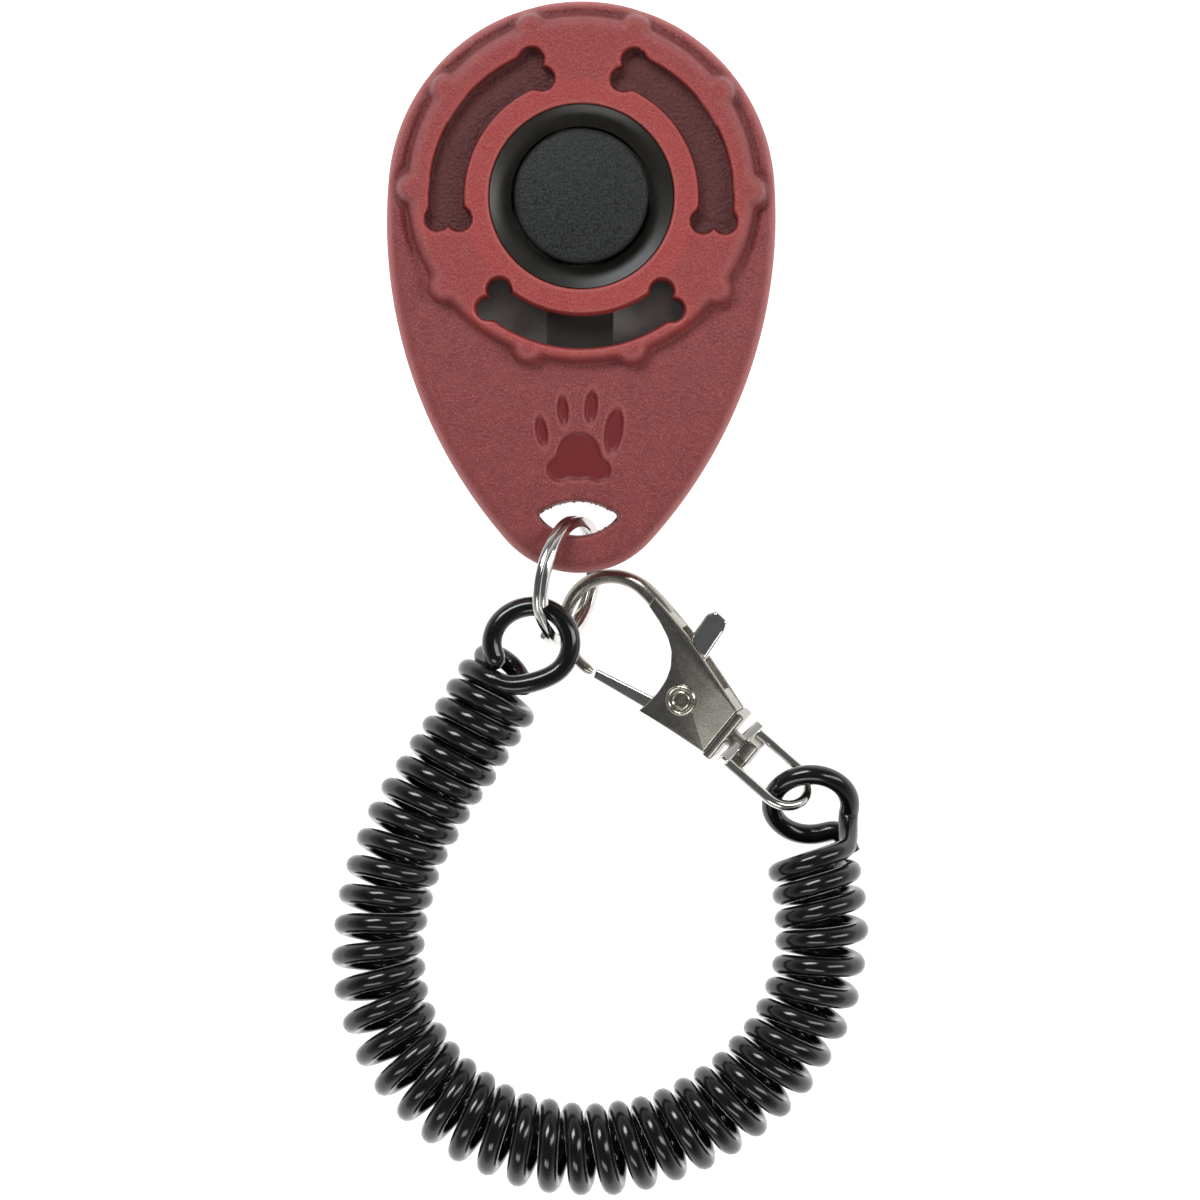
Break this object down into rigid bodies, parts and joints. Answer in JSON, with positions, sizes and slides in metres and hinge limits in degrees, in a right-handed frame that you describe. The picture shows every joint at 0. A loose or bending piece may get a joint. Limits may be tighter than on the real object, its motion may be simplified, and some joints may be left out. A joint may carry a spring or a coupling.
{
  "type": "clicker trainer",
  "caption": "Hand-held clicker for pet training: egg-shaped casing with a push button and click strip inside, split ring, curly wrist band and swivel lobster clasp",
  "frame": {"origin": "middle of the casing's footprint on the surface it lies on, without the ring, band and clasp", "axes": "+X to the right seen from the button side, +Y towards the casing's round end, +Z out of the button"},
  "size_m": [0.0615, 0.1363, 0.0154],
  "materials": {
    "shell": "fine spark-eroded grain, satin",
    "dark_insert": "smooth satin",
    "button": "fine matte grain",
    "inner_plastic": "plain moulded",
    "damper": "soft foam rubber",
    "spring_steel": "rolled strip",
    "screw_steel": "zinc plated",
    "ring_steel": "bright nickel plate",
    "clasp_metal": "bright nickel plate over die-cast zinc",
    "cord": "glossy extruded plastic"
  },
  "bodies": {
    "casing": {"front_shell": "shell", "back_shell": "shell", "case_screws": "screw_steel", "dish_insert": "dark_insert", "click_strip": "spring_steel", "strip_holder": "inner_plastic", "strip_rivets": "spring_steel", "strip_clamp": "spring_steel", "strike_plate": "spring_steel"},
    "button": {"button_cap": "button", "button_plunger": "inner_plastic", "plunger_tip": "inner_plastic", "button_damper": "damper"},
    "ring": {"split_ring": "ring_steel"},
    "band": {"wrist_coil": "cord", "loop_ring_end": "cord", "loop_clasp_end": "cord"},
    "clasp": {"hook_body": "clasp_metal", "gate_rivet": "clasp_metal", "gate_spring": "spring_steel", "swivel_stud": "clasp_metal"},
    "gate": {"gate_lever": "clasp_metal"},
    "swivel": {"swivel_eye": "clasp_metal"}
  },
  "joints": [
    {"name": "button_press", "type": "slide", "parent": "casing", "child": "button", "axis": [0, 0, -1], "range_m": [0, 0.0012], "stiffness_N_per_m": 600, "springref_m": -0.0002, "deforming": ["click_strip"]},
    {"name": "ring_swing", "type": "hinge", "parent": "casing", "child": "ring", "pos_m": [0, -0.0304, 0.00745], "axis": [1, 0, 0], "range_deg": [-5, 5]},
    {"name": "band_swing", "type": "hinge", "parent": "ring", "child": "band", "pos_m": [-0.0049, -0.04054, 0.0096], "axis": [0, 0, 1], "range_deg": [-1, 1]},
    {"name": "clasp_swing", "type": "hinge", "parent": "ring", "child": "clasp", "pos_m": [-0.00076, -0.03855, 0.0014], "axis": [0, 0, 1], "range_deg": [-1, 1]},
    {"name": "gate_open", "type": "hinge", "parent": "clasp", "child": "gate", "pos_m": [0.01236, -0.0467, 0.0042], "axis": [0.2977, 0.1559, -0.9418], "range_deg": [0, 22], "stiffness_Nm_per_rad": 0.02, "springref_deg": -5.73},
    {"name": "swivel_turn", "type": "hinge", "parent": "clasp", "child": "swivel", "pos_m": [0.01248, -0.04655, 0.00426], "axis": [-0.7516, 0.6465, -0.1305], "range_deg": [-3, 12]}
  ]
}
